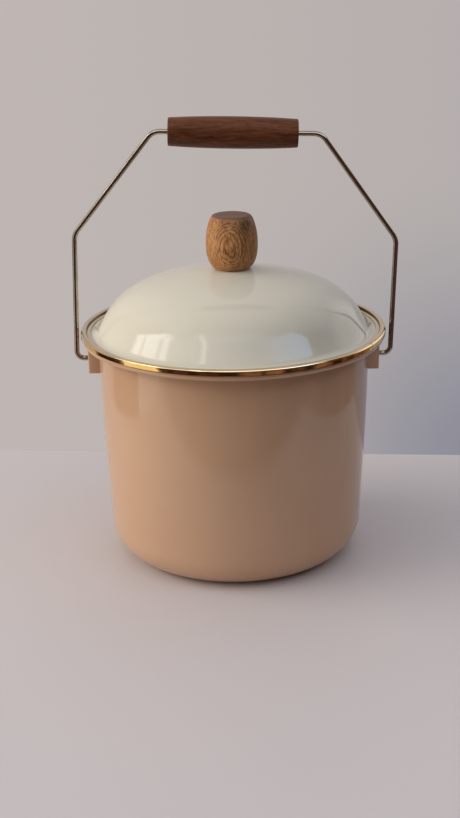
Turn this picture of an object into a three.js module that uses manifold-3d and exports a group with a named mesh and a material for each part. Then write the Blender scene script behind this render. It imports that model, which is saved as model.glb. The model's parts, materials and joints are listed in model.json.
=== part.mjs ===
// An enamelled steel pail with a domed lid. The pail is one drawn shell with a rolled rim, and two
// pressed ears on its neck carry a wire bail with a turned wooden grip. The lid is a second shell,
// with a brass-coloured band clipped over its hemmed edge and a turned wooden knob screwed on top.
// Units are millimetres, +Z is up, +X runs along the bail's pivots, and the origin is the middle of
// the base, on the floor.

import * as THREE from "three";
import { mergeVertices } from "three/addons/utils/BufferGeometryUtils.js";
import Module from "manifold-3d";

// Shared thickness, clearances and fineness
const sheet = 1.2; // enamelled steel, with the glass on both faces
const seatGap = 0.3; // between pieces that rest on, or are cut to, each other
const overrun = 5; // how far a cutting solid runs past what it cuts
const shellSegments = 60;
const turnedSegments = 40;
const screwSegments = 20;
const wireSides = 10;
const bendSteps = 5;
const edgeSteps = 2; // around a small rounded edge

// Pail shell
const pailHeight = 181.2; // floor to the top of the rolled rim
const bodyRadius = 101.6; // outside, where the wall leaves the base corner
const cornerRadius = 26; // big drawn corner between base and wall
const bellySwell = 4.6; // how much wider the wall is at its belly than at the corner
const neckSwell = 5.4; // and at the neck, under the flare
const bellyHeight = 120;
const recessRadius = 58; // the middle of the base is pressed up
const recessDepth = 1.5;
const recessSlope = 5;
const flareRadius = 4.5; // outside radius of the turn from the neck to the flange
const flangeWidth = 5.1; // from the end of that turn to the middle of the bead
const beadDiameter = 4.4; // the edge rolled under

// Ears, pressed boxes open at the bottom
const earDepth = 7.7; // how far the face stands off the neck
const earTopWidth = 32;
const earBottomWidth = 25;
const earHeight = 24.2;
const earCornerRadius = 5;
const earHoleRise = 9.2; // bottom edge to the middle of the wire's hole
const holeClearance = 0.6; // around the wire

// Bail and its grip
const wireDiameter = 4;
const armClearance = 2.6; // between the arms and the lid's band
const wireTipGap = 2.2; // between the wire's end and the neck
const pivotBend = 5.5; // bend radii at the middle of the wire
const shoulderBend = 14;
const crownBend = 12;
const armRise = 96; // pivot to the lower bends
const bailRise = 175.9; // pivot to the middle of the grip
const bailLean = 1.72; // degrees, the hand-bent top stands a little to the right
const gripLength = 98.5;
const gripDiameter = 24.6;
const gripEndDiameter = 21.2;
const gripEdgeRadius = 1.4;
const gripBoreClearance = 0.5;
const barSpare = 14.8; // bare wire between each end of a centred grip and the bend's corner
const gripSlideShare = -0.205; // share of that spare by which the grip has slid, to the left

// Lid shell
const lidClearance = 0.5; // between the locating rib and the mouth
const ribDepth = 4.5; // how far the rib reaches into the mouth
const domeRise = 50; // flange underside to the knob's seat
const crownHandleShares = new THREE.Vector2(0.5, 0.86); // of the way out to the foot, and of the rise
const shoulderHandleShares = new THREE.Vector2(0.88, 0.76);
const creaseWidth = 1.8;
const creaseDepth = 0.4;
const creaseRise = 1; // the dome's foot above the flange
const lipHeight = 3.05; // flange underside to the top of the edge, turned up and hemmed double

// Edge band
const bandSheet = 0.8;
const bandEdgeRadius = 0.7;
const bandOverhang = 1.2; // how far it stands out beyond the pail's rolled rim
const bandFootWidth = 2.8; // its inner edge is turned in flat over the lid's flange
const bandJointAngle = -29.5; // degrees from +X, where its two ends meet
const bandJointGap = 0.5;

// Knob and what holds it
const knobHeight = 42;
const knobRadius = 20.4;
const knobFootRadius = 13;
const knobTopRadius = 14.4;
const knobSeatMargin = 1; // flat of the lid around the knob's foot
const knobHeightShares = [0.025, 0.105, 0.215, 0.34, 0.5, 0.665, 0.785, 0.905, 0.965];
const knobRadiusShares = [0.72, 0.86, 0.945, 0.99, 1, 0.975, 0.922, 0.848, 0.785];
const screwDiameter = 4;
const screwReach = 20; // into the knob
const screwHeadDiameter = 8;
const screwHeadHeight = 2.6;
const slotWidth = 1;
const slotDepth = 1.1;
const washerDiameter = 14;
const washerThickness = 1.2;

// Radii and heights that follow
const baseRadius = bodyRadius - cornerRadius;
const bellyRadius = bodyRadius + bellySwell;
const neckRadius = bodyRadius + neckSwell;
const flareHeight = pailHeight - sheet - flareRadius;
const beadRadius = beadDiameter / 2;
const beadCentreRadius = neckRadius + flareRadius + flangeWidth;
const rimRadius = beadCentreRadius + beadRadius;
const wireRadius = wireDiameter / 2;
const earFace = neckRadius + earDepth;
const earTop = flareHeight - seatGap;
const earBottom = earTop - earHeight;
const pivotHeight = earBottom + earHoleRise;
const lidHeight = pailHeight + seatGap; // the lid's flange underside
const ribRadius = neckRadius - sheet - lidClearance;
const domeFootRadius = ribRadius;
const knobSeatRadius = knobFootRadius + knobSeatMargin;
const screwHoleRadius = screwDiameter / 2 + seatGap;
const bandRadius = rimRadius + bandOverhang;
const lipRadius = bandRadius - bandSheet - seatGap;
const lipInnerRadius = lipRadius - sheet - sheet;
const armReach = bandRadius + armClearance + wireRadius;

const enamelTan = new THREE.MeshStandardMaterial({ color: 0xc09c80, roughness: 0.16, metalness: 0 });
const enamelCream = new THREE.MeshStandardMaterial({ color: 0xe0d4c0, roughness: 0.14, metalness: 0 });
const brassFinish = new THREE.MeshStandardMaterial({ color: 0xd9b36a, roughness: 0.18, metalness: 1 });
const wireFinish = new THREE.MeshStandardMaterial({ color: 0xc9b08a, roughness: 0.25, metalness: 1 });
const darkWood = new THREE.MeshStandardMaterial({ color: 0x6a3c1e, roughness: 0.45, metalness: 0 });
const lightWood = new THREE.MeshStandardMaterial({ color: 0xb07c48, roughness: 0.55, metalness: 0 });
const steelFinish = new THREE.MeshStandardMaterial({ color: 0xb8b8ba, roughness: 0.35, metalness: 1 });
const fibre = new THREE.MeshStandardMaterial({ color: 0x4a3a30, roughness: 0.9, metalness: 0 });

const wasm = await Module();
wasm.setup();

// Profiles are points in a half plane, x being the radius and y the height, with the material on
// their left.
const at = (radius, height) => new THREE.Vector2(radius, height);

// Points of an arc, between two angles in degrees from the outward direction.
function arc(centre, radius, from, to, steps) {
  return Array.from({ length: steps + 1 }, (_, i) => {
    const angle = THREE.MathUtils.degToRad(THREE.MathUtils.lerp(from, to, i / steps));
    return at(centre.x + radius * Math.cos(angle), centre.y + radius * Math.sin(angle));
  });
}

// The same line moved to its left by a distance, as the far face of a sheet follows the near one.
function offset(points, distance) {
  return points.map((point, i) => {
    const before = point.clone().sub(points[Math.max(i - 1, 0)]).normalize();
    const after = points[Math.min(i + 1, points.length - 1)].clone().sub(point).normalize();
    const along = before.clone().add(after).normalize();
    const bisector = at(-along.y, along.x);
    const squeeze = i > 0 ? along.dot(before) : along.dot(after);
    return point.clone().addScaledVector(bisector, distance / squeeze);
  });
}

// A solid of revolution about +Z.
function turn(profile, segments) {
  return new THREE.LatheGeometry(profile, segments).rotateX(Math.PI / 2);
}

// A profile that has no point on the axis closes on its first point.
const closed = (profile) => [...profile, profile[0].clone()];

// A round bar along +Z with its lower end at a height.
function bar(radius, low, high, segments) {
  return turn([at(0, low), at(radius, low), at(radius, high), at(0, high)], segments);
}

function toSolid(geometry) {
  const bare = geometry.index ? geometry.toNonIndexed() : geometry.clone();
  bare.deleteAttribute("normal");
  bare.deleteAttribute("uv");
  const merged = mergeVertices(bare);
  const vertProperties = merged.attributes.position.array;
  const triVerts = new Uint32Array(merged.index.array);
  return new wasm.Manifold(new wasm.Mesh({ numProp: 3, vertProperties, triVerts }));
}

function toGeometry(solid) {
  const { numProp, vertProperties, triVerts } = solid.getMesh();
  const geometry = new THREE.BufferGeometry();
  geometry.setAttribute("position", new THREE.BufferAttribute(new Float32Array(vertProperties), numProp));
  geometry.setIndex(new THREE.BufferAttribute(new Uint32Array(triVerts), 1));
  geometry.computeVertexNormals();
  return geometry;
}

function piece(name, geometry, material) {
  const mesh = new THREE.Mesh(geometry, material);
  mesh.name = name;
  return mesh;
}

// The outer face of the pail, from the middle of the base to the underside of the flange.
function pailFace() {
  const wall = new THREE.SplineCurve([
    at(bodyRadius, cornerRadius),
    at(bellyRadius, bellyHeight),
    at(neckRadius, flareHeight),
  ]);
  return [
    at(0, recessDepth),
    at(recessRadius, recessDepth),
    at(recessRadius + recessSlope, 0),
    ...arc(at(baseRadius, cornerRadius), cornerRadius, -90, 0, bendSteps),
    ...wall.getPoints(bendSteps).slice(1),
    ...arc(at(neckRadius + flareRadius, flareHeight), flareRadius, 180, 90, bendSteps).slice(1),
  ];
}

// The drawn shell, with its edge rolled under into a solid bead.
function pailGeometry() {
  const outside = pailFace();
  const inside = offset(outside, sheet).reverse();
  const beadStart = 180 - THREE.MathUtils.radToDeg(Math.asin((beadRadius - sheet) / beadRadius));
  const beadCentre = at(beadCentreRadius, pailHeight - beadRadius);
  const bead = arc(beadCentre, beadRadius, beadStart, 360 + 90, bendSteps + bendSteps);
  const profile = [...outside, ...bead, ...inside];
  profile[profile.length - 1].x = 0;
  return turn(profile, shellSegments);
}

// One ear, as it stands on the +X side: a box pressed from sheet, open at the bottom and cut to the
// neck, with a hole for the wire.
function earGeometry() {
  const outline = (inset, bottom, cornerRadiusHere) => {
    const topHalf = earTopWidth / 2 - inset;
    const bottomHalf = earBottomWidth / 2 - inset;
    const top = earTop - inset;
    const shape = new THREE.Shape();
    shape.moveTo(-bottomHalf, bottom);
    shape.lineTo(bottomHalf, bottom);
    shape.lineTo(topHalf, top - cornerRadiusHere);
    shape.quadraticCurveTo(topHalf, top, topHalf - cornerRadiusHere, top);
    shape.lineTo(cornerRadiusHere - topHalf, top);
    shape.quadraticCurveTo(-topHalf, top, -topHalf, top - cornerRadiusHere);
    shape.closePath();
    return shape;
  };
  // Extruded along +Z, then laid so that the outline stands up and the depth runs along +X.
  const slab = (shape, from, to) =>
    new THREE.ExtrudeGeometry(shape, { depth: to - from, bevelEnabled: false, curveSegments: bendSteps })
      .rotateX(Math.PI / 2)
      .rotateZ(Math.PI / 2)
      .translate(from, 0, 0);
  const inner = neckRadius - earTopWidth;
  const box = toSolid(slab(outline(0, earBottom, earCornerRadius), inner, earFace));
  const pocketShape = outline(sheet, earBottom - overrun, earCornerRadius - sheet);
  const pocket = toSolid(slab(pocketShape, inner - overrun, earFace - sheet));
  const holeRadius = wireRadius + holeClearance;
  const hole = toSolid(
    bar(holeRadius, inner, earFace + overrun, screwSegments)
      .rotateY(Math.PI / 2)
      .translate(0, 0, pivotHeight),
  );
  const wall = pailFace().filter((point) => point.y > 0 && point.x >= bodyRadius && point.x <= neckRadius);
  const neck = toSolid(
    turn([at(0, wall[0].y), ...offset(wall, -seatGap), at(0, wall[wall.length - 1].y)], shellSegments),
  );
  return toGeometry(box.subtract(pocket).subtract(hole).subtract(neck));
}

// A wire's middle line, as stations that a sweep visits one by one.
class WireLine extends THREE.Curve {
  constructor(stations) {
    super();
    this.stations = stations;
  }

  getUtoTmapping(u) {
    return u;
  }

  getPoint(t) {
    const last = this.stations.length - 1;
    const i = Math.min(Math.floor(t * last), last - 1);
    return this.stations[i].clone().lerp(this.stations[i + 1], t * last - i);
  }

  getTangent(t) {
    const i = Math.round(t * (this.stations.length - 1));
    const here = this.stations[i];
    const before = here.clone().sub(this.stations[Math.max(i - 1, 0)]).normalize();
    const after = this.stations[Math.min(i + 1, this.stations.length - 1)].clone().sub(here).normalize();
    return before.add(after).normalize();
  }
}

// Stations along a line of corners, each rounded with its own bend radius.
function bend(corners, radii) {
  const stations = [corners[0]];
  radii.forEach((radius, k) => {
    const corner = corners[k + 1];
    const along = corner.clone().sub(corners[k]).normalize();
    const onward = corners[k + 2].clone().sub(corner).normalize();
    const angle = along.angleTo(onward);
    const inward = onward.clone().addScaledVector(along, -onward.dot(along)).normalize();
    const start = corner.clone().addScaledVector(along, -radius * Math.tan(angle / 2));
    for (let i = 0; i <= bendSteps; i++) {
      const turned = (angle * i) / bendSteps;
      stations.push(
        start
          .clone()
          .addScaledVector(along, radius * Math.sin(turned))
          .addScaledVector(inward, radius * (1 - Math.cos(turned))),
      );
    }
  });
  stations.push(corners[corners.length - 1]);
  return stations;
}

// The bail's wire in its own frame, with the pivots on the X axis. Its top leans as one piece.
function bailGeometry() {
  const tip = neckRadius + wireTipGap;
  const barHalf = gripLength / 2 + barSpare;
  const lean = THREE.MathUtils.degToRad(bailLean);
  const leant = (x, z) => new THREE.Vector3(x, 0, z).applyAxisAngle(new THREE.Vector3(0, 1, 0), lean);
  const corners = [
    new THREE.Vector3(-tip, 0, 0),
    new THREE.Vector3(-armReach, 0, 0),
    leant(-armReach, armRise),
    leant(-barHalf, bailRise),
    leant(barHalf, bailRise),
    leant(armReach, armRise),
    new THREE.Vector3(armReach, 0, 0),
    new THREE.Vector3(tip, 0, 0),
  ];
  const radii = [pivotBend, shoulderBend, crownBend, crownBend, shoulderBend, pivotBend];
  const stations = bend(corners, radii);
  const section = new THREE.Shape().absarc(0, 0, wireRadius, 0, 2 * Math.PI);
  return new THREE.ExtrudeGeometry(section, {
    curveSegments: wireSides / 2,
    steps: stations.length - 1,
    extrudePath: new WireLine(stations),
  });
}

// The grip, a bored barrel turned about the bar of the bail.
function gripGeometry() {
  const half = gripLength / 2;
  const bore = wireRadius + gripBoreClearance;
  const endRadius = gripEndDiameter / 2;
  const swell = gripDiameter / 2 - endRadius;
  const flank = (share) => at(endRadius + swell * (1 - share * share), half * share);
  const edgeShare = 1 - gripEdgeRadius / half;
  const side = Array.from({ length: bendSteps + bendSteps + 1 }, (_, i) =>
    flank(edgeShare * (i / bendSteps - 1)),
  );
  const profile = [
    at(bore, -half),
    at(endRadius - gripEdgeRadius, -half),
    ...side,
    at(endRadius - gripEdgeRadius, half),
    at(bore, half),
  ];
  return turn(closed(profile), turnedSegments).rotateY(Math.PI / 2);
}

// The lid's shell in its own frame, with the underside of its flange at zero: a domed crown, a
// double-thickness rib that sits in the mouth, a flat flange and a hemmed edge.
function lidGeometry() {
  const foot = at(domeFootRadius, sheet + creaseRise);
  const run = domeFootRadius - knobSeatRadius;
  const crown = new THREE.CubicBezierCurve(
    foot,
    at(knobSeatRadius + run * shoulderHandleShares.x, domeRise * shoulderHandleShares.y),
    at(knobSeatRadius + run * crownHandleShares.x, domeRise * crownHandleShares.y),
    at(knobSeatRadius, domeRise),
  ).getPoints(bendSteps + bendSteps);
  const top = [...crown, at(screwHoleRadius, domeRise)];
  const under = offset(top, sheet).reverse();
  const ribInner = ribRadius - sheet - sheet;
  const profile = [
    ...under.slice(0, -1),
    at(ribInner, sheet + creaseRise),
    ...arc(at(ribRadius - sheet, sheet - ribDepth), sheet, 180, 360, bendSteps),
    at(ribRadius, 0),
    at(lipRadius, 0),
    at(lipRadius, lipHeight),
    at(lipInnerRadius, lipHeight),
    at(lipInnerRadius, sheet),
    at(domeFootRadius + creaseWidth, sheet),
    at(domeFootRadius + creaseWidth / 2, sheet - creaseDepth),
    ...top,
  ];
  return turn(closed(profile), shellSegments);
}

// The band, an upside-down channel over the lid's hemmed edge, its two ends butted and its inner
// edge turned in as a flat foot.
function bandGeometry() {
  const legRadius = lipInnerRadius - seatGap;
  const throatRadius = legRadius - bandSheet;
  const toeRadius = throatRadius - bandFootWidth;
  const sole = sheet + seatGap;
  const inside = lipHeight + seatGap;
  const top = inside + bandSheet;
  const edgeHeight = top - bandEdgeRadius;
  const profile = [
    at(bandRadius - bandSheet, 0),
    at(bandRadius, 0),
    ...arc(at(bandRadius - bandEdgeRadius, edgeHeight), bandEdgeRadius, 0, 90, edgeSteps),
    ...arc(at(throatRadius + bandEdgeRadius, edgeHeight), bandEdgeRadius, 90, 180, edgeSteps),
    at(throatRadius, sole + bandSheet),
    at(toeRadius, sole + bandSheet),
    at(toeRadius, sole),
    at(legRadius, sole),
    at(legRadius, inside),
    at(bandRadius - bandSheet, inside),
  ];
  const ring = toSolid(turn(closed(profile), shellSegments));
  const joint = toSolid(
    new THREE.BoxGeometry(bandRadius + overrun, bandJointGap, top + overrun)
      .translate((bandRadius + overrun) / 2, 0, top / 2)
      .rotateZ(THREE.MathUtils.degToRad(bandJointAngle)),
  );
  return toGeometry(ring.subtract(joint));
}

// The knob, turned as a barrel on its foot, with a pilot hole for the screw.
function knobGeometry() {
  const side = knobHeightShares.map((share, i) => at(knobRadius * knobRadiusShares[i], knobHeight * share));
  return turn(
    [
      at(0, screwReach + seatGap),
      at(screwHoleRadius, screwReach + seatGap),
      at(screwHoleRadius, 0),
      at(knobFootRadius, 0),
      ...side,
      at(knobTopRadius, knobHeight),
      at(0, knobHeight),
    ],
    turnedSegments,
  );
}

// The screw, with its head's underside at zero, pointing up into the knob.
function screwGeometry() {
  const headRadius = screwHeadDiameter / 2;
  const shank = washerThickness + sheet + screwReach;
  const body = toSolid(
    turn(
      [
        at(0, -screwHeadHeight),
        at(headRadius, -screwHeadHeight),
        at(headRadius, 0),
        at(screwDiameter / 2, 0),
        at(screwDiameter / 2, shank),
        at(0, shank),
      ],
      screwSegments,
    ),
  );
  const slot = toSolid(
    new THREE.BoxGeometry(screwHeadDiameter + overrun, slotWidth, slotDepth + slotDepth).translate(
      0,
      0,
      -screwHeadHeight,
    ),
  );
  return toGeometry(body.subtract(slot));
}

function washerGeometry() {
  const profile = [
    at(screwHoleRadius, 0),
    at(washerDiameter / 2, 0),
    at(washerDiameter / 2, washerThickness),
    at(screwHoleRadius, washerThickness),
  ];
  return turn(closed(profile), screwSegments);
}

// Pail with its ears
const pail = new THREE.Group();
pail.add(piece("pail_body", pailGeometry(), enamelTan));
for (const [name, turned] of [
  ["ear_right", 0],
  ["ear_left", Math.PI],
]) {
  const ear = piece(name, earGeometry(), enamelTan);
  ear.rotation.z = turned;
  pail.add(ear);
}

// Bail, hung at the pivots, with the grip on its leaning bar
const bail = new THREE.Group();
bail.position.z = pivotHeight;
bail.add(piece("bail_wire", bailGeometry(), wireFinish));
const crownBar = new THREE.Group();
crownBar.rotation.y = THREE.MathUtils.degToRad(bailLean);
const grip = piece("grip", gripGeometry(), darkWood);
grip.position.set(barSpare * gripSlideShare, 0, bailRise);
crownBar.add(grip);
bail.add(crownBar);

// Lid on its seat
const lid = new THREE.Group();
lid.position.z = lidHeight;
lid.add(piece("lid_shell", lidGeometry(), enamelCream));
lid.add(piece("lid_band", bandGeometry(), brassFinish));
const knob = piece("knob", knobGeometry(), lightWood);
knob.position.z = domeRise;
lid.add(knob);
const washer = piece("knob_washer", washerGeometry(), fibre);
washer.position.z = domeRise - sheet - washerThickness;
lid.add(washer);
const screw = piece("knob_screw", screwGeometry(), steelFinish);
screw.position.z = domeRise - sheet - washerThickness;
lid.add(screw);

const enamelPail = new THREE.Group();
enamelPail.add(pail, bail, lid);

export default enamelPail;
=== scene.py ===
"""An enamelled pail with a domed lid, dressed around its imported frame. Lengths are metres."""

import json
import math

import bmesh
import bpy
from mathutils import Matrix, Vector
from mathutils.geometry import interpolate_bezier


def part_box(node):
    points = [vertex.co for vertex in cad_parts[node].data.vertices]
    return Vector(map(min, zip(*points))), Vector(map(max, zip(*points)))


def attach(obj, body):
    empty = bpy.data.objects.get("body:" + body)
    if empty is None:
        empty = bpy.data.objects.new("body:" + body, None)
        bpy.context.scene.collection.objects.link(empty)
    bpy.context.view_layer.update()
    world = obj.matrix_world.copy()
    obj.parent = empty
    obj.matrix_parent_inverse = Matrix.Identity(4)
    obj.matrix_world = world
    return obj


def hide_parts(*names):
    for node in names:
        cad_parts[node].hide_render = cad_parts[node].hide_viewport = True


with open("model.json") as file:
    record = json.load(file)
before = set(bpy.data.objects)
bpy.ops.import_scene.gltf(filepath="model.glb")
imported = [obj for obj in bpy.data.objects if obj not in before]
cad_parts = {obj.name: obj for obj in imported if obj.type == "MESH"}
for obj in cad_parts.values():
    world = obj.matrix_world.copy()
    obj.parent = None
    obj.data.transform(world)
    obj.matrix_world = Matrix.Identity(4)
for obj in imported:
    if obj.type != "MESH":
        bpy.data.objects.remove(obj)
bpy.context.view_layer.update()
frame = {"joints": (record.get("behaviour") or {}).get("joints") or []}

# Pail shell
# One sheet of steel, drawn deep over a punch and fired with tan enamel inside and out. Its edge is
# turned out at the neck and rolled under into a bead, which stiffens the mouth and carries the lid.
_, shell_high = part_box("pail_body")
SHEET = 0.0012
BEAD = 0.0044
BODY_RADIUS = 0.1016
BASE_CORNER = 0.026
BELLY_RADIUS = 0.1062
BELLY_HEIGHT = 0.12
BELLY_BEND = 0.03
NECK_RADIUS = 0.107
NECK_BEND = 0.0045
RECESS_RADIUS = 0.058
RECESS_SLOPE = 0.005
RECESS_DEPTH = 0.0015
RECESS_BEND = 0.002
ROLL_TURN = math.radians(262)
PEEL_DEPTH = 0.00004
TOUCH = 1e-6
BEND_STEPS = 10
TURN_STEPS = 192
CREASE_ANGLE = math.radians(38)


def select_points(piece, wanted):
    """Selects the points of a piece in edit mode whose places are wanted."""
    bpy.ops.mesh.select_all(action="DESELECT")
    bpy.ops.mesh.select_mode(type="VERT")
    mesh = bmesh.from_edit_mesh(piece.data)
    for point in mesh.verts:
        point.select = wanted(point.co)
    mesh.select_flush_mode()
    bmesh.update_edit_mesh(piece.data)


def draw(name, corners):
    """Draws a line in the XZ plane by extruding one point from corner to corner, and rounds its
    bends. A corner is a radius, a height and how far before it the bend starts."""
    bpy.ops.object.select_all(action="DESELECT")
    bpy.ops.mesh.primitive_plane_add(size=SHEET)
    piece = bpy.context.object
    piece.name = name
    bpy.ops.object.mode_set(mode="EDIT")
    bpy.ops.mesh.select_mode(type="VERT")
    bpy.ops.mesh.merge(type="CENTER")
    places = [Vector((radius, 0, height)) for radius, height, _ in corners]
    bpy.ops.transform.translate(value=places[0])
    for here, there in zip(places, places[1:]):
        bpy.ops.mesh.extrude_region_move(TRANSFORM_OT_translate={"value": there - here})
    for place, (_, _, reach) in zip(places, corners):
        if reach:
            select_points(piece, lambda co: (co - place).length < TOUCH)
            bpy.ops.mesh.bevel(offset=reach, segments=BEND_STEPS, affect="VERTICES")
    return piece


def turn(angle=2 * math.pi, steps=TURN_STEPS):
    """Spins the drawn line about +Z, as on a lathe, and closes its seam and poles."""
    bpy.ops.mesh.select_all(action="SELECT")
    bpy.ops.mesh.spin(steps=steps, angle=angle, center=(0, 0, 0), axis=(0, 0, 1))
    bpy.ops.mesh.select_all(action="SELECT")
    bpy.ops.mesh.remove_doubles(threshold=TOUCH)
    bpy.ops.mesh.normals_make_consistent(inside=False)
    bpy.ops.object.mode_set(mode="OBJECT")


def modify(piece, kind, **settings):
    """Adds a modifier to a piece and applies it."""
    modifier = piece.modifiers.new(kind.title(), kind)
    for name, value in settings.items():
        setattr(modifier, name, value)
    bpy.context.view_layer.objects.active = piece
    bpy.ops.object.modifier_apply(modifier=modifier.name)


def smooth(piece):
    """Shades a piece smooth, but for its sharp edges."""
    bpy.ops.object.select_all(action="DESELECT")
    piece.select_set(True)
    bpy.context.view_layer.objects.active = piece
    bpy.ops.object.shade_smooth_by_angle(angle=CREASE_ANGLE)


rim_height = shell_high.z
bead_middle = Vector((shell_high.x - BEAD / 2, 0, rim_height - BEAD / 2))
foot_pull = (BELLY_RADIUS - BODY_RADIUS) * BASE_CORNER / (BELLY_HEIGHT - BASE_CORNER)
half = SHEET / 2
flange_end = Vector((bead_middle.x, 0, rim_height - half))
shell = draw(
    "pail_shell",
    [
        (0, RECESS_DEPTH + half, 0),
        (RECESS_RADIUS, RECESS_DEPTH + half, RECESS_BEND),
        (RECESS_RADIUS + RECESS_SLOPE, half, RECESS_BEND),
        (BODY_RADIUS - foot_pull - half, half, BASE_CORNER - half),
        (BELLY_RADIUS - half, BELLY_HEIGHT, BELLY_BEND),
        (NECK_RADIUS - half, flange_end.z, NECK_BEND + half),
        (flange_end.x, flange_end.z, 0),
    ],
)
select_points(shell, lambda co: (co - flange_end).length < TOUCH)
bpy.ops.mesh.spin(steps=2 * BEND_STEPS, angle=ROLL_TURN, center=bead_middle, axis=(0, -1, 0))
turn()
modify(shell, "SOLIDIFY", thickness=SHEET, offset=0, use_even_offset=True)
smooth(shell)


class Shade:
    """One output socket in a node tree. Maths on it adds Math nodes."""

    def __init__(self, tree, socket=None):
        self.tree = tree
        self.socket = socket

    def node(self, kind, settings, sockets, out=0):
        """Adds a node: its settings first, then the values or links of its sockets."""
        made = self.tree.nodes.new("ShaderNode" + kind)
        for name, value in settings.items():
            if name == "stops":
                ramp = made.color_ramp.elements
                while len(ramp) < len(value):
                    ramp.new(1)
                for stop, (place, tint) in zip(ramp, value):
                    stop.position = place
                    stop.color = tint
            else:
                setattr(made, name, value)
        for name, value in sockets.items():
            if isinstance(value, Shade):
                self.tree.links.new(value.socket, made.inputs[name])
            else:
                made.inputs[name].default_value = value
        return Shade(self.tree, made.outputs[out])

    def maths(self, operation, *terms):
        """Adds one Math node over some terms."""
        return self.node("Math", {"operation": operation}, dict(enumerate(terms)))

    def __add__(self, other):
        return self.maths("ADD", self, other)

    __radd__ = __add__

    def __mul__(self, other):
        return self.maths("MULTIPLY", self, other)

    __rmul__ = __mul__

    def __sub__(self, other):
        return self.maths("SUBTRACT", self, other)

    def __rsub__(self, other):
        return self.maths("SUBTRACT", other, self)

    def __truediv__(self, other):
        return self.maths("DIVIDE", self, other)

    def step(self, low, high, to_low=0.0, to_high=1.0):
        """Passes smoothly from one value to another between two places."""
        ends = {"From Min": low, "From Max": high, "To Min": to_low, "To Max": to_high}
        settings = {"interpolation_type": "SMOOTHSTEP"}
        return self.node("MapRange", settings, {"Value": self, **ends})

    def mix(self, first, second):
        """Mixes two colours by this value."""
        sockets = {0: self, 6: first, 7: second}
        return self.node("Mix", {"data_type": "RGBA"}, sockets, out=2)

    def noise(self, scale, detail=2.0, roughness=0.5):
        """Cloudy noise over these coordinates, from 0 to 1."""
        grain = {"Scale": scale, "Detail": detail, "Roughness": roughness}
        return self.node("TexNoise", {}, {"Vector": self, **grain})

    def moved(self, place=(0, 0, 0), turned=(0, 0, 0), scale=(1, 1, 1)):
        """These coordinates centred, turned and scaled."""
        sockets = {"Vector": self, "Location": place, "Rotation": turned, "Scale": scale}
        return self.node("Mapping", {"vector_type": "TEXTURE"}, sockets)

    def part(self, axis):
        """One of these coordinates."""
        return self.node("SeparateXYZ", {}, {"Vector": self}, out=axis)

    def from_axis(self):
        """How far these coordinates lie from their Z axis."""
        flat = self.node("VectorMath", {"operation": "MULTIPLY"}, {0: self, 1: (1, 1, 0)})
        return self.node("VectorMath", {"operation": "LENGTH"}, {0: flat}, out="Value")

    def ray(self, kind):
        """1 for one kind of ray, and 0 for the others."""
        return self.node("LightPath", {}, {}, out=kind)

    def bump(self, distance, strength=1.0):
        """A normal that rises and falls with this height."""
        return self.node("Bump", {}, {"Height": self, "Distance": distance, "Strength": strength})


def colour(red, green, blue):
    """A colour as it is read off a screen, made linear."""
    return (*((value / 255) ** 2.2 for value in (red, green, blue)), 1)


def new_material(name, **constants):
    """A material, its object coordinates and a way to link its shader's sockets."""
    material = bpy.data.materials.new(name)
    material.use_nodes = True
    tree = material.node_tree
    shader = tree.nodes["Principled BSDF"]
    for socket, value in constants.items():
        shader.inputs[socket.replace("_", " ")].default_value = value
    place = Shade(tree).node("TexCoord", {}, {}, out="Object")

    def feed(socket, shade):
        tree.links.new(shade.socket, shader.inputs[socket])

    return material, place, feed


def enamel(name, fired, thin):
    """Glass fired on steel: an even colour under a deep gloss with a faint orange peel."""
    material, place, feed = new_material(name, Specular_IOR_Level=0.5, IOR=1.52)
    cloud = place.noise(9.0, 3.0)
    feed("Base Color", cloud.step(0.35, 0.7).mix(fired, thin))
    feed("Roughness", place.noise(30.0, 4.0).step(0.3, 0.75, 0.06, 0.1))
    peel = place.noise(75.0, 2.0) + place.noise(210.0, 1.0) * 0.25
    feed("Normal", peel.bump(PEEL_DEPTH))
    return material


tan_enamel = enamel("tan enamel", colour(201, 161, 130), colour(197, 156, 125))
shell.data.materials.append(tan_enamel)
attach(shell, "pail")
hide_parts("pail_body")

# Ears
# Two lugs pressed from the same sheet, welded to the neck before the enamel is fired. Each is a
# box open at the bottom, with a hole through its face for the end of the bail.
ear_low, ear_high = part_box("ear_right")
EAR_BOTTOM_WIDTH = 0.025
EAR_TOP_CORNER = 0.005
EAR_FACE_EDGE = 0.0016
EAR_SINK = 0.0004
EAR_SOFT_EDGE = 0.00025
EAR_CUT_SHARES = (-0.3, -0.15, 0, 0.15, 0.3)
WIRE = 0.004
HOLE_ROOM = 0.0006
HOLE_SIDES = 48
SQUARE_ON = 0.9
SHARP_ANGLE = math.radians(60)
bail_joint = next(joint for joint in frame["joints"] if joint["name"] == "bail_swing")
pivot = Vector(bail_joint["pos_m"])


def select_edges(piece, wanted):
    """Selects the edges of a piece in edit mode whose two ends are wanted."""
    bpy.ops.mesh.select_all(action="DESELECT")
    bpy.ops.mesh.select_mode(type="EDGE")
    mesh = bmesh.from_edit_mesh(piece.data)
    for edge in mesh.edges:
        edge.select_set(wanted(*(point.co for point in edge.verts)))
    bmesh.update_edit_mesh(piece.data)


def select_faces(piece, wanted):
    """Selects the faces of a piece in edit mode whose normals are wanted."""
    bpy.ops.mesh.select_all(action="DESELECT")
    bpy.ops.mesh.select_mode(type="FACE")
    mesh = bmesh.from_edit_mesh(piece.data)
    for face in mesh.faces:
        face.select_set(wanted(face.normal))
    bmesh.update_edit_mesh(piece.data)


def soften(piece, width, segments):
    """Rounds the sharp edges of a piece a little."""
    modify(
        piece,
        "BEVEL",
        width=width,
        segments=segments,
        limit_method="ANGLE",
        angle_limit=SHARP_ANGLE,
    )


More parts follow.
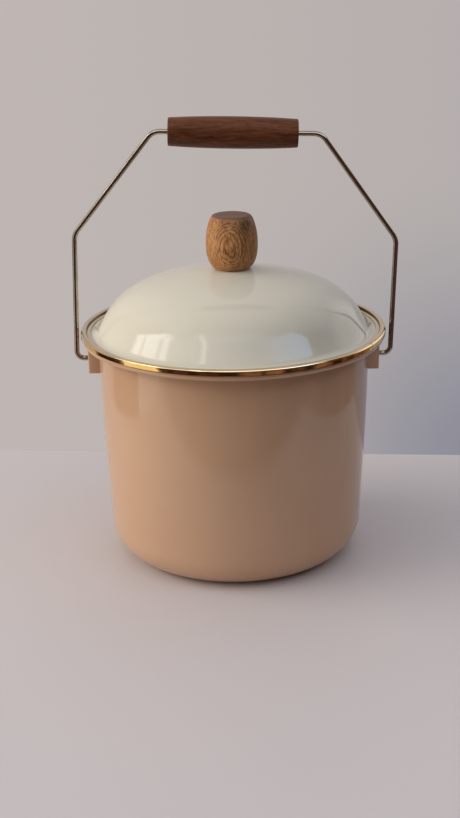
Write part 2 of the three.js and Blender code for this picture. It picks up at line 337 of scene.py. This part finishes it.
def is_top_corner(a, b):
    """Whether an edge of the ear is one of its two top corners."""
    return min(a.z, b.z) > ear_middle.z and a.y * b.y > 0 and abs(a.x - b.x) > TOUCH


def is_face_edge(a, b):
    """Whether an edge borders the ear's outer face at its top or at a side."""
    return min(a.x, b.x) > ear_high.x - TOUCH and max(a.z, b.z) > ear_middle.z


ear_size = ear_high - ear_low
ear_middle = (ear_high + ear_low) / 2
bpy.ops.object.select_all(action="DESELECT")
bpy.ops.mesh.primitive_cube_add(size=1, location=ear_middle, scale=ear_size)
ear = bpy.context.object
ear.name = "ear_right_pressing"
bpy.ops.object.transform_apply()
bpy.ops.object.mode_set(mode="EDIT")
select_points(ear, lambda co: co.z < ear_middle.z)
bpy.ops.transform.resize(value=(1, EAR_BOTTOM_WIDTH / ear_size.y, 1), center_override=ear_middle)
select_edges(ear, is_top_corner)
bpy.ops.mesh.bevel(offset=EAR_TOP_CORNER, segments=BEND_STEPS // 2)
select_edges(ear, is_face_edge)
bpy.ops.mesh.bevel(offset=EAR_FACE_EDGE, segments=BEND_STEPS // 2)
select_faces(ear, lambda normal: normal.x < -SQUARE_ON or normal.z < -SQUARE_ON)
bpy.ops.mesh.delete(type="FACE")
for share in EAR_CUT_SHARES:
    bpy.ops.mesh.select_all(action="SELECT")
    cut = ear_middle + Vector((0, ear_size.y * share, 0))
    bpy.ops.mesh.bisect(plane_co=cut, plane_no=(0, 1, 0))
select_points(ear, lambda co: co.x < ear_low.x + TOUCH)
bpy.ops.object.vertex_group_add()
bpy.ops.object.vertex_group_assign()
bpy.ops.object.mode_set(mode="OBJECT")
modify(
    ear,
    "SHRINKWRAP",
    target=shell,
    wrap_method="PROJECT",
    use_project_x=True,
    use_negative_direction=True,
    use_positive_direction=True,
    vertex_group="Group",
    offset=-EAR_SINK,
)
modify(ear, "SOLIDIFY", thickness=SHEET, offset=-1, use_even_offset=True)
bpy.ops.object.select_all(action="DESELECT")
bpy.ops.mesh.primitive_cylinder_add(
    vertices=HOLE_SIDES,
    radius=WIRE / 2 + HOLE_ROOM,
    depth=ear_size.x,
    location=(ear_high.x, 0, pivot.z),
    rotation=(0, math.pi / 2, 0),
)
drill = bpy.context.object
modify(ear, "BOOLEAN", object=drill, operation="DIFFERENCE", solver="EXACT")
bpy.data.objects.remove(drill)
soften(ear, EAR_SOFT_EDGE, 2)
smooth(ear)
ear.data.materials.append(tan_enamel)
bpy.ops.object.duplicate()
ear_left = bpy.context.object
ear_left.name = "ear_left_pressing"
ear_left.rotation_euler.z = math.pi
bpy.ops.object.transform_apply()
for piece, node in ((ear, "ear_right"), (ear_left, "ear_left")):
    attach(piece, "pail")
    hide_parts(node)

# Bail
# One length of plated steel wire, bent cold. Its two ends are sprung in through the ears, and its
# top was set by hand and stands a little over to the right.
ARM_REACH = 0.1246
ARM_RISE = 0.096
BAIL_RISE = 0.1759
BAIL_LEAN = math.radians(1.72)
BAR_HALF = 0.06405
PIVOT_BEND = 0.0055
SHOULDER_BEND = 0.014
CROWN_BEND = 0.012
WIRE_END_GAP = 0.0022
WIRE_END_EDGE = 0.0005
WIRE_SIDES = 24
DRAWING_DEPTH = 0.00002
lean = Matrix.Rotation(BAIL_LEAN, 4, "Y")
bends = [
    (pivot + Vector((-ARM_REACH, 0, 0)), PIVOT_BEND),
    (pivot + lean @ Vector((-ARM_REACH, 0, ARM_RISE)), SHOULDER_BEND),
    (pivot + lean @ Vector((-BAR_HALF, 0, BAIL_RISE)), CROWN_BEND),
    (pivot + lean @ Vector((BAR_HALF, 0, BAIL_RISE)), CROWN_BEND),
    (pivot + lean @ Vector((ARM_REACH, 0, ARM_RISE)), SHOULDER_BEND),
    (pivot + Vector((ARM_REACH, 0, 0)), PIVOT_BEND),
]
tip_reach = NECK_RADIUS + WIRE_END_GAP
here = pivot + Vector((-tip_reach, 0, 0))
far_tip = pivot + Vector((tip_reach, 0, 0))
bpy.ops.object.select_all(action="DESELECT")
bpy.ops.mesh.primitive_circle_add(
    vertices=WIRE_SIDES,
    radius=WIRE / 2,
    fill_type="NGON",
    location=here,
    rotation=(0, math.pi / 2, 0),
)
wire = bpy.context.object
wire.name = "bail_of_bent_wire"
bpy.ops.object.transform_apply()
bpy.ops.object.mode_set(mode="EDIT")
bpy.ops.mesh.select_all(action="SELECT")
for (corner, bend), onward in zip(bends, [place for place, _ in bends[1:]] + [far_tip]):
    along = (corner - here).normalized()
    away = (onward - corner).normalized()
    swing = along.angle(away)
    start = corner - along * bend * math.tan(swing / 2)
    middle = start + (away - along * along.dot(away)).normalized() * bend
    bpy.ops.mesh.extrude_region_move(TRANSFORM_OT_translate={"value": start - here})
    bpy.ops.mesh.spin(steps=BEND_STEPS, angle=-swing, center=middle, axis=along.cross(away))
    here = corner + away * bend * math.tan(swing / 2)
bpy.ops.mesh.extrude_region_move(TRANSFORM_OT_translate={"value": far_tip - here})
bpy.ops.mesh.select_all(action="SELECT")
bpy.ops.mesh.normals_make_consistent(inside=False)
bpy.ops.object.mode_set(mode="OBJECT")
soften(wire, WIRE_END_EDGE, 3)
smooth(wire)

plated, place, feed = new_material("plated wire", Metallic=1.0, Specular_IOR_Level=0.5)
drawn = place.moved(scale=(1, 1, 12)).noise(900.0, 3.0)
dull = place.noise(45.0, 4.0, 0.6)
feed("Base Color", dull.step(0.35, 0.75).mix(colour(180, 168, 154), colour(146, 134, 122)))
feed("Roughness", dull.step(0.3, 0.8, 0.12, 0.3))
feed("Normal", drawn.bump(DRAWING_DEPTH))
wire.data.materials.append(plated)
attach(wire, "bail")
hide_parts("bail_wire")

# Grip
# A barrel turned from dark walnut and bored for the wire, on which it spins freely. It has slid to
# the left along the bar.
GRIP_LENGTH = 0.0985
GRIP_END_RADIUS = 0.0106
GRIP_SWELL = 0.0017
GRIP_EDGE = 0.0009
GRIP_SOFT_EDGE = 0.0004
GRIP_ROOM = 0.0005
GRIP_SLIDE = -0.003034
GRIP_GRAIN_DEPTH = 0.00025


def settle(piece):
    """Applies a piece's place and turn to its mesh."""
    bpy.ops.object.select_all(action="DESELECT")
    piece.select_set(True)
    bpy.ops.object.transform_apply()


grip_half = GRIP_LENGTH / 2
grip_bore = WIRE / 2 + GRIP_ROOM
grip = draw(
    "turned_grip",
    [
        (grip_bore, -grip_half, 0),
        (GRIP_END_RADIUS, -grip_half, GRIP_EDGE),
        (GRIP_END_RADIUS + 2 * GRIP_SWELL, 0, grip_half - 2 * GRIP_EDGE),
        (GRIP_END_RADIUS, grip_half, GRIP_EDGE),
        (grip_bore, grip_half, 0),
        (grip_bore, -grip_half, 0),
    ],
)
turn(steps=96)
soften(grip, GRIP_SOFT_EDGE, 3)
grip_place = pivot + lean @ Vector((GRIP_SLIDE, 0, BAIL_RISE))
grip.rotation_euler.y = math.pi / 2 + BAIL_LEAN
grip.location = grip_place
settle(grip)
smooth(grip)

walnut, place, feed = new_material("walnut", Specular_IOR_Level=0.18)
along_grain = place.moved(place=grip_place, turned=(0, BAIL_LEAN, 0), scale=(10, 1, 1))
bands = along_grain.noise(170.0, 5.0, 0.6)
streaks = along_grain.noise(900.0, 4.0, 0.65)
pores = along_grain.noise(1500.0, 2.0, 0.5).step(0.6, 0.7)
tone = bands * 0.45 + streaks * 0.55
browns = [
    (0.3, colour(66, 37, 25)),
    (0.45, colour(96, 56, 37)),
    (0.58, colour(118, 73, 48)),
    (0.72, colour(146, 102, 67)),
]
brown = tone.node("ValToRGB", {"stops": browns}, {"Fac": tone})
feed("Base Color", (pores * 0.6).mix(brown, colour(48, 24, 16)))
feed("Roughness", streaks.step(0.3, 0.8, 0.34, 0.52))
feed("Normal", (streaks * 0.6 - pores * 0.7).bump(GRIP_GRAIN_DEPTH, 0.6))
grip.data.materials.append(walnut)
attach(grip, "grip")
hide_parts("grip")

# Lid shell
# A second sheet, pressed to a dome that sweeps out into a flat flange with a hemmed edge, and fired
# with cream enamel. A strip folded double, joined on underneath, drops into the mouth.
lid_low, lid_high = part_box("lid_shell")
DOME_RISE = 0.05
DOME_FOOT_RADIUS = 0.1053
DOME_FOOT_RISE = 0.0022
CROWN_SHARES = ((0.5, 0.86), (0.88, 0.76))
SWEEP_RADIUS = 0.1084
SWEEP_BEND = 0.0042
SEAT_RADIUS = 0.014
SCREW_HOLE = 0.0023
FOLD_GAP = 0.0001
STRIP_BEND = 0.0011
STRIP_INSIDE_RISE = 7 * SHEET
STRIP_OUTSIDE_RISE = 4 * SHEET
HEM_RADIUS = 0.1189
HEM_RISE = 0.00305
HEM_BEND = 0.0004
DOME_STEPS = 40
STRAIGHT_STEPS = 6
lid_base = lid_high.z - DOME_RISE
run = DOME_FOOT_RADIUS - SEAT_RADIUS
crown = interpolate_bezier(
    (SEAT_RADIUS, 0, DOME_RISE),
    *((SEAT_RADIUS + run * out, 0, DOME_RISE * up) for out, up in CROWN_SHARES),
    (DOME_FOOT_RADIUS, 0, DOME_FOOT_RISE),
    DOME_STEPS,
)
hem_middle = HEM_RADIUS - SHEET
lid = draw(
    "lid_dome",
    [
        (SCREW_HOLE, lid_high.z, 0),
        *((point[0], point[2] + lid_base, 0) for point in crown[:-STRAIGHT_STEPS]),
        (SWEEP_RADIUS, lid_base + SHEET, SWEEP_BEND),
        (hem_middle, lid_base + SHEET, HEM_BEND),
        (hem_middle, lid_base + HEM_RISE - SHEET, 0),
        (hem_middle - FOLD_GAP, lid_base + HEM_RISE - SHEET, 0),
        (hem_middle - FOLD_GAP, lid_base + SHEET + FOLD_GAP, 0),
    ],
)
turn()
modify(lid, "SOLIDIFY", thickness=SHEET, offset=-1, use_even_offset=True)
smooth(lid)
strip_inside = DOME_FOOT_RADIUS - 2 * SHEET
strip = draw(
    "lid_locating_strip",
    [
        (strip_inside, lid_base + STRIP_INSIDE_RISE, 0),
        (strip_inside, lid_low.z, STRIP_BEND),
        (DOME_FOOT_RADIUS, lid_low.z, STRIP_BEND),
        (DOME_FOOT_RADIUS, lid_base + STRIP_OUTSIDE_RISE, 0),
        (strip_inside, lid_base + STRIP_INSIDE_RISE, 0),
    ],
)
turn()
smooth(strip)
cream_enamel = enamel("cream enamel", colour(221, 214, 196), colour(217, 209, 190))
for piece in (lid, strip):
    piece.data.materials.append(cream_enamel)
    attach(piece, "lid")
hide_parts("lid_shell")

# Lid band
# A strip of polished brass-coloured metal, rolled into an upside-down channel and pushed down over
# the lid's edge, with its inner edge turned in as a flat foot. Its two ends butt at the front right.
band_low, band_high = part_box("lid_band")
BAND_SHEET = 0.0008
BAND_EDGE = 0.0009
BAND_CROWN = 0.0014
BAND_SOFT_EDGE = 0.00015
BAND_JOINT = math.radians(-29.5)
BAND_JOINT_GAP = 0.0005
BAND_ROOM = 0.0003
BAND_FOOT = 0.0028
outer_leg = band_high.x - BAND_SHEET / 2
inner_leg = hem_middle - SHEET - BAND_ROOM - BAND_SHEET / 2
band_top = band_high.z - BAND_SHEET / 2
band_sole = lid_base + SHEET + BAND_ROOM + BAND_SHEET / 2
band = draw(
    "lid_edge_channel",
    [
        (outer_leg, band_low.z, 0),
        (outer_leg, band_top, BAND_CROWN),
        (inner_leg, band_top, BAND_EDGE),
        (inner_leg, band_sole, BAND_SHEET / 2),
        (inner_leg - BAND_SHEET / 2 - BAND_FOOT, band_sole, 0),
    ],
)
turn(angle=2 * math.pi - BAND_JOINT_GAP / outer_leg)
modify(band, "SOLIDIFY", thickness=BAND_SHEET, offset=0, use_even_offset=True)
soften(band, BAND_SOFT_EDGE, 2)
band.rotation_euler.z = BAND_JOINT
settle(band)
smooth(band)

# The lacquer is yellow on the outer leg and worn pale on top and inside. The corners beside the
# inner
# leg are painted dark: painted shade for the gap there.
WORN_TOP = 0.0006
WORN_TOP_FADE = 0.0014
WORN_INSIDE = 0.0022
WORN_INSIDE_FADE = 0.0006
CORNER_SHADE_WIDTH = 0.0006
CORNER_SHADE_FADE = 0.0011
CORNER_SHADE_DEPTH = 0.0003
CORNER_SHADE_RISE = 0.0004
BAND_WAVE_DEPTH = 0.00008
brass, place, feed = new_material("lacquered brass", Metallic=1.0, Specular_IOR_Level=0.5)
out = place.from_axis()
rise = place.part("Z")
on_top = rise.step(band_high.z - WORN_TOP_FADE, band_high.z - WORN_TOP)
inside = out.step(band_high.x - WORN_INSIDE_FADE, band_high.x - WORN_INSIDE)
tarnish = place.noise(38.0, 4.0, 0.6).step(0.35, 0.75)
gold = tarnish.mix(colour(245, 205, 130), colour(226, 180, 104))
pale = tarnish.mix(colour(232, 214, 184), colour(214, 194, 160))
worn = on_top.maths("MAXIMUM", on_top, inside).mix(gold, pale)
off_leg = out - inner_leg
# Painted shade: the brass turns dark in the corners beside the inner leg.
corner_shade = off_leg.maths("ABSOLUTE", off_leg).step(CORNER_SHADE_FADE, CORNER_SHADE_WIDTH)
corner_shade = corner_shade * rise.step(band_top + CORNER_SHADE_RISE, band_top - CORNER_SHADE_DEPTH)
feed("Base Color", corner_shade.mix(worn, colour(84, 62, 38)))
rub = place.moved(scale=(1, 1, 0.2)).noise(260.0, 3.0)
feed("Roughness", rub.step(0.3, 0.8, 0.05, 0.16))
feed("Normal", place.noise(110.0, 2.0).bump(BAND_WAVE_DEPTH))
band.data.materials.append(brass)
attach(band, "lid")
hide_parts("lid_band")

# Knob
# A barrel turned from a lighter, open-pored wood with its grain upright, so that the bulge of its
# side cuts the year rings into nested ovals. It is left flat on top.
knob_low, knob_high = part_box("knob")
KNOB_FOOT_RADIUS = 0.013
KNOB_TOP_RADIUS = 0.0144
KNOB_RADIUS = 0.0204
KNOB_SHARES = [
    (0.72, 0.025),
    (0.86, 0.105),
    (0.945, 0.215),
    (0.99, 0.34),
    (1.0, 0.5),
    (0.975, 0.665),
    (0.922, 0.785),
    (0.848, 0.905),
    (0.785, 0.965),
]
KNOB_CREASE = 0.85
RIM_TOUCH = 1e-5


def on_rim(point, rim):
    """Whether a point lies on a rim, given as a radius and a height."""
    radius, height = rim
    return abs(point.xy.length - radius) < RIM_TOUCH and abs(point.z - height) < RIM_TOUCH


knob_height = knob_high.z - knob_low.z
knob_rims = ((KNOB_FOOT_RADIUS, knob_low.z), (KNOB_TOP_RADIUS, knob_high.z))
knob = draw(
    "turned_knob",
    [
        (0, knob_low.z, 0),
        (KNOB_FOOT_RADIUS, knob_low.z, 0),
        *((KNOB_RADIUS * out, knob_low.z + knob_height * up, 0) for out, up in KNOB_SHARES),
        (KNOB_TOP_RADIUS, knob_high.z, 0),
        (0, knob_high.z, 0),
    ],
)
turn(steps=48)
bpy.ops.object.mode_set(mode="EDIT")
select_edges(knob, lambda a, b: any(on_rim(a, rim) and on_rim(b, rim) for rim in knob_rims))
bpy.ops.transform.edge_crease(value=KNOB_CREASE)
bpy.ops.object.mode_set(mode="OBJECT")
modify(knob, "SUBSURF", levels=2, render_levels=2)
smooth(knob)

# The pith lies behind the knob. The end grain on top is darker, and so is the
# shoulder on the right.
PITH_OFFSET = Vector((0.003, 0.034, -0.003))
YEAR_RING = 0.00075
RING_WANDER = 0.0025
DARK_SHOULDER_LOW = 0.018
DARK_SHOULDER_HIGH = 0.002
DARK_SHOULDER_LEFT = -0.016
DARK_SHOULDER_RIGHT = 0.014
END_GRAIN_LOW = 0.0012
END_GRAIN_HIGH = 0.0004
KNOB_GRAIN_DEPTH = 0.0003
oak, place, feed = new_material("open-pored wood", Specular_IOR_Level=0.2)
upright = place.moved(place=(knob_low + knob_high) / 2 + PITH_OFFSET)
wander = upright.moved(scale=(1, 1, 2.5)).noise(90.0, 3.0) * RING_WANDER
years = (upright.from_axis() + wander) / YEAR_RING
ring = years.maths("FRACT", years)
late = ring.step(0.3, 0.8) - ring.step(0.9, 1.0)
fibre = upright.moved(scale=(1, 1, 7)).noise(800.0, 4.0, 0.6)
patch = upright.moved(scale=(1, 1, 2)).noise(110.0, 3.0)
pore = upright.moved(scale=(1, 1, 5)).noise(1300.0, 1.0).step(0.56, 0.66)
tone = late * 0.42 + fibre.step(0.3, 0.7) * 0.28 + patch.step(0.3, 0.7) * 0.3
wood = tone.mix(colour(224, 164, 110), colour(118, 70, 40))
wood = (pore * 0.6).mix(wood, colour(86, 50, 28))
rise = place.part("Z")
# The upper shoulder on the right is made darker.
dark_shoulder = rise.step(knob_high.z - DARK_SHOULDER_LOW, knob_high.z - DARK_SHOULDER_HIGH)
dark_shoulder = dark_shoulder * place.part("X").step(DARK_SHOULDER_LEFT, DARK_SHOULDER_RIGHT)
dark_shoulder = dark_shoulder * (fibre.step(0.35, 0.65) * 0.35 + patch.step(0.3, 0.7) * 0.3 + 0.3)
wood = dark_shoulder.mix(wood, colour(76, 58, 50))
end_grain = rise.step(knob_high.z - END_GRAIN_LOW, knob_high.z - END_GRAIN_HIGH)
end_wood = (fibre * 0.6).mix(colour(132, 100, 86), colour(92, 66, 56))
feed("Base Color", end_grain.mix(wood, end_wood))
feed("Roughness", fibre.step(0.3, 0.8, 0.4, 0.62))
feed("Normal", (fibre * 0.4 - pore - late * 0.3).bump(KNOB_GRAIN_DEPTH, 0.7))
knob.data.materials.append(oak)
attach(knob, "lid")
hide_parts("knob")

# Knob screw
# A slotted pan-head screw of bright zinc comes up through the lid into the knob. Its head stays
# under the washer, inside the lid.
screw_low, screw_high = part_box("knob_screw")
washer_low, washer_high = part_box("knob_washer")
SCREW_HEAD_EDGE = 0.0008
SCREW_SOFT_EDGE = 0.00012
SLOT = Vector((0.012, 0.001, 0.0022))
ZINC_GRAIN_DEPTH = 0.00003
screw = draw(
    "pan_head_screw",
    [
        (0, screw_low.z, 0),
        (screw_high.x, screw_low.z, SCREW_HEAD_EDGE),
        (screw_high.x, washer_low.z, 0),
        (WIRE / 2, washer_low.z, 0),
        (WIRE / 2, screw_high.z - WIRE / 2, 0),
        (0, screw_high.z, 0),
    ],
)
turn(steps=48)
bpy.ops.object.select_all(action="DESELECT")
bpy.ops.mesh.primitive_cube_add(size=1, location=(0, 0, screw_low.z), scale=SLOT)
cutter = bpy.context.object
modify(screw, "BOOLEAN", object=cutter, operation="DIFFERENCE", solver="EXACT")
bpy.data.objects.remove(cutter)
soften(screw, SCREW_SOFT_EDGE, 2)
smooth(screw)
zinc, place, feed = new_material("bright zinc", Metallic=1.0, Specular_IOR_Level=0.5)
feed("Base Color", place.noise(300.0, 3.0).mix(colour(190, 190, 192), colour(160, 160, 164)))
feed("Roughness", place.noise(700.0, 3.0).step(0.3, 0.8, 0.22, 0.42))
feed("Normal", place.noise(1400.0, 2.0).bump(ZINC_GRAIN_DEPTH))
screw.data.materials.append(zinc)
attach(screw, "lid")
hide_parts("knob_screw")

# Screw washer
# A flat ring of black rubber, pinched between the screw's head and the enamel, which a bare head
# would chip.
WASHER_SOFT_EDGE = 0.0003
RUBBER_GRAIN_DEPTH = 0.00004
washer = draw(
    "screw_washer",
    [
        (SCREW_HOLE, washer_low.z, 0),
        (washer_high.x, washer_low.z, 0),
        (washer_high.x, washer_high.z, 0),
        (SCREW_HOLE, washer_high.z, 0),
        (SCREW_HOLE, washer_low.z, 0),
    ],
)
turn(steps=64)
soften(washer, WASHER_SOFT_EDGE, 3)
smooth(washer)
rubber, place, feed = new_material("black rubber", Specular_IOR_Level=0.4)
feed("Base Color", place.noise(500.0, 3.0).mix(colour(46, 42, 40), colour(60, 56, 53)))
feed("Roughness", place.noise(900.0, 2.0).step(0.3, 0.8, 0.6, 0.8))
feed("Normal", place.noise(1800.0, 2.0).bump(RUBBER_GRAIN_DEPTH))
washer.data.materials.append(rubber)
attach(washer, "lid")
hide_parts("knob_washer")

# Table
# A plain pale tabletop, whose front edge lies just below the picture. Gloss alone sees its near
# end dark, which keeps the upper wall of the pail deep in tone.
TABLE_FRONT = -0.415
TABLE_BACK = 0.203
TABLE_HALF = 0.42
TABLE_THICKNESS = 0.03
TABLE_EDGE = 0.004
TABLE_SKEW = math.radians(-4.5)
DARK_FROM = -0.27
DARK_TO = -0.33
bpy.ops.object.select_all(action="DESELECT")
bpy.ops.mesh.primitive_cube_add(
    size=1,
    location=(0, (TABLE_FRONT + TABLE_BACK) / 2, -TABLE_THICKNESS / 2),
    scale=(2 * TABLE_HALF, TABLE_BACK - TABLE_FRONT, TABLE_THICKNESS),
)
table = bpy.context.object
table.name = "table"
bpy.ops.object.transform_apply()
table.rotation_euler.z = TABLE_SKEW
bpy.ops.object.transform_apply()
modify(table, "BEVEL", width=TABLE_EDGE, segments=4)
top, place, feed = new_material("pale table", Roughness=0.45, Specular_IOR_Level=0.3)
painted = place.noise(3.0, 3.0).mix(colour(214, 206, 205), colour(210, 201, 200))
near_end = place.part("Y").step(DARK_FROM, DARK_TO)
feed("Base Color", (place.ray("Is Glossy Ray") * near_end).mix(painted, colour(60, 52, 50)))
table.data.materials.append(top)

# Studio
# Nothing stands round the table: the world is painted by direction. The camera sees a pale wall,
# gloss sees a room with a dim front and bright panes, and the rest is lit softly from the left.
world = bpy.data.worlds.new("studio")
bpy.context.scene.world = world
world.use_nodes = True
world.node_tree.nodes.clear()
sky = Shade(world.node_tree)
to_camera = sky.ray("Is Camera Ray")
shiny = sky.ray("Is Glossy Ray")
through = sky.ray("Is Transmission Ray")
look = sky.node("TexCoord", {}, {}, out="Generated")
across = look.part("X")
depth = look.part("Y")
height = look.part("Z")

# The wall that the camera sees, painted darker and cooler to the right as shade, with a painted
# shadow of the pail in the low right corner.
# Painted shadow of the pail on the wall, low on the right.
painted_wall_shadow = across.step(-0.02, 0.19) * height.step(-0.16, -0.37)
wall = across.step(-0.3, 0.5).mix(colour(191, 182, 178), colour(172, 167, 167))
wall = painted_wall_shadow.mix(wall, colour(138, 138, 150))

# The room that gloss sees: the wall behind, a dim front with one bright stretch, a pale ceiling.
behind = depth.step(-0.1, 0.4)
uneven = look.moved(scale=(1, 1, 4)).noise(7.0, 2.0).step(0.35, 0.65)
front = across.step(0.0, 0.2).mix(colour(78, 55, 62), colour(132, 100, 90))
front = uneven.mix(front, colour(46, 36, 34))
bright = depth.step(-0.56, -0.5) * depth.step(0.0, -0.04) * across.step(0.0, -0.3)
front = bright.mix(front, colour(262, 256, 246))
upper = behind.mix(front, wall)
lower = depth.step(0.45, 0.62).mix(front, wall)
room = height.step(0.02, -0.08).mix(upper, lower)
overhead = height.step(0.6, 0.85)
ceiling = overhead.maths("MAXIMUM", overhead, height.step(0.15, 0.8) * behind)
room = ceiling.mix(room, colour(200, 194, 188))

# The bright panes that the lid mirrors, each with its own strength.
mottle = look.noise(8.0, 3.0).step(0.34, 0.5)
left_pane = across.step(-0.6, -0.7) * depth.step(-0.3, -0.25) * depth.step(0.26, 0.14)
left_pane = left_pane * (height + depth * 0.25).step(0.43, 0.49)
left_pane = left_pane * (height + depth).step(0.7, 0.62) * mottle
right_pane = across.step(0.25, 0.75) * depth.step(-0.13, -0.17) * depth.step(-0.66, -0.5)
right_pane = right_pane * height.step(0.5, 0.56) * height.step(0.84, 0.78)
off_slit = across + 0.35
slit = off_slit.maths("ABSOLUTE", off_slit).step(0.04, 0.015)
slit = slit * depth.step(-0.24, -0.34) * height.step(0.66, 0.72)
front_light = depth.step(-0.15, -0.55) * height.step(0.45, 0.65)
far_right = across.step(0.35, 0.6) * depth.step(0.1, 0.4)
far_right = far_right * height.step(0.6, 0.4) * height.step(0.0, 0.1)
room = front_light.mix(room, colour(222, 222, 228))
room = far_right.mix(room, colour(228, 222, 212))
room = right_pane.mix(room, colour(180, 214, 247))
room = left_pane.maths("MAXIMUM", left_pane, slit).mix(room, colour(255, 253, 246))
panes = left_pane * 3.8 + right_pane * 2.6 + slit * 1.8 + front_light * 1.2 + far_right * 0.5
seen = {"Color": to_camera.mix(room, wall), "Strength": (1 - to_camera) * panes + 1}
picture = sky.node("Background", {}, seen)

# The soft light: pale from above, dark in front, bluish behind, with a warm lobe from the left.
level = behind.mix(colour(32, 31, 34), colour(68, 76, 102))
soft = height.step(0.25, 0.8).mix(level, colour(214, 215, 222))
lobe = (height * 0.22 - across * 0.95 - depth * 0.22).step(0.7, 1.0)
shed = {"Color": lobe.mix(soft, colour(255, 249, 237)), "Strength": lobe * 1.45 + 1}
light = sky.node("Background", {}, shed)
direct = to_camera.maths("MAXIMUM", to_camera, shiny)
direct = direct.maths("MAXIMUM", direct, through)
mixed = sky.node("MixShader", {}, {0: direct, 1: light, 2: picture})
output = world.node_tree.nodes.new("ShaderNodeOutputWorld")
world.node_tree.links.new(mixed.socket, output.inputs["Surface"])

# Lamps
# A wide soft lamp on the left gives the shading and the shadow on the table, and a dim cool one
# fills in from the right. Gloss doesn't see them: the studio's panes stand in for them there.


def lamp(name, place, aim, size, power, tint):
    """A soft rectangular lamp that faces a point."""
    made = bpy.data.lights.new(name, "AREA")
    made.shape = "RECTANGLE"
    made.size, made.size_y = size
    made.energy = power
    made.color = tint
    holder = bpy.data.objects.new(name, made)
    holder.location = place
    holder.rotation_euler = (Vector(aim) - Vector(place)).to_track_quat("-Z", "Y").to_euler()
    holder.visible_glossy = False
    bpy.context.scene.collection.objects.link(holder)


lamp(
    "window_left",
    place=(-1.45, -0.06, 0.86),
    aim=(0, 0, 0.12),
    size=(1.3, 0.45),
    power=8.5,
    tint=(1.0, 0.96, 0.87),
)
lamp(
    "window_right",
    place=(1.24, -0.72, 1.44),
    aim=(0, 0, 0.19),
    size=(1.0, 0.5),
    power=2.2,
    tint=(0.82, 0.9, 1.0),
)

# Camera
# It stands where the photograph was taken from: about a metre in front of the pail, looking down,
# and turned a little about its own axis.
CAMERA_PLACE = (-0.00357, -1.06698, 0.48844)
CAMERA_PITCH = math.radians(19.294)
CAMERA_ROLL = math.radians(-0.985)
PICTURE_HEIGHT = 818
FOCAL_PIXELS = 1400
camera = bpy.data.objects.new("camera", bpy.data.cameras.new("camera"))
camera.data.lens = FOCAL_PIXELS / PICTURE_HEIGHT * camera.data.sensor_width
camera.rotation_mode = "QUATERNION"
camera.matrix_world = (
    Matrix.Translation(CAMERA_PLACE)
    @ Matrix.Rotation(math.pi / 2 - CAMERA_PITCH, 4, "X")
    @ Matrix.Rotation(CAMERA_ROLL, 4, "Z")
)
bpy.context.scene.collection.objects.link(camera)
bpy.context.scene.camera = camera
bpy.context.scene.view_settings.view_transform = "Standard"
